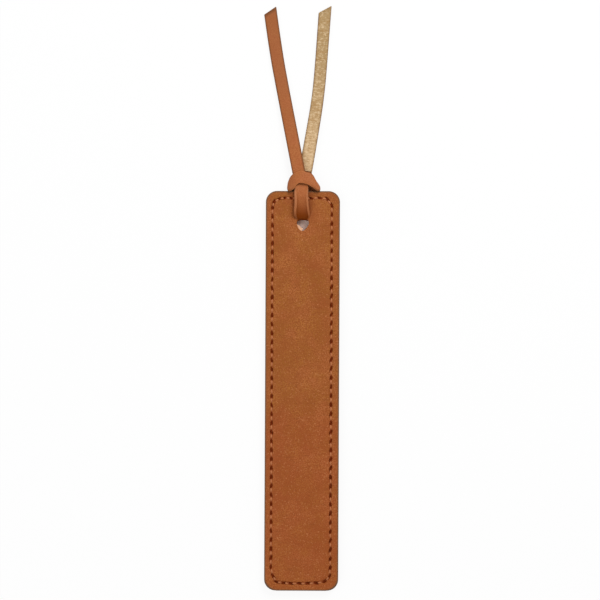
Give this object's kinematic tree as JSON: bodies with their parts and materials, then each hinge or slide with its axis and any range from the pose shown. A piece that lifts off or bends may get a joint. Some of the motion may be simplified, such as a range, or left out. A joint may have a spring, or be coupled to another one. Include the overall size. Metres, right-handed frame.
{
  "type": "bookmark",
  "caption": "Flat leather bookmark, stitched round its edge, with a flat leather lace knotted through a punched hole and free slant-cut tails.",
  "frame": {"origin": "on the surface the bookmark lies on, under the middle of the strip and knot, without the free tails", "axes": "+X across the strip, +Y along the strip towards the lace, +Z out of the front face"},
  "size_m": [0.0284, 0.2183, 0.0049],
  "materials": {
    "strip_leather": "fine-grained tan leather, satin",
    "card": "plain board",
    "thread": "twisted polyester thread",
    "lace_leather": "smooth grain side, tan suede back"
  },
  "bodies": {
    "strip": {"front_panel": "strip_leather", "back_panel": "strip_leather", "stiffener_card": "card", "needle_thread": "thread", "bobbin_thread": "thread", "lace_loop": "lace_leather"},
    "knot": {"lace_knot": "lace_leather"},
    "tail_left": {"lace_tail_left": "lace_leather"},
    "tail_right": {"lace_tail_right": "lace_leather"}
  },
  "joints": [
    {"name": "lace_swing", "type": "hinge", "parent": "strip", "child": "knot", "pos_m": [0, 0.07032, 0.00244], "axis": [1, 0, 0], "range_deg": [-60, 60], "deforming": ["lace_loop"]},
    {"name": "tail_left_lift", "type": "hinge", "parent": "knot", "child": "tail_left", "pos_m": [-0.00186, 0.07956, 0.00301], "axis": [0.9794, 0.2018, 0], "range_deg": [0, 90]},
    {"name": "tail_right_drop", "type": "hinge", "parent": "knot", "child": "tail_right", "pos_m": [0.00104, 0.07962, 0.00186], "axis": [0.9852, -0.1715, 0], "range_deg": [-90, 0]}
  ]
}
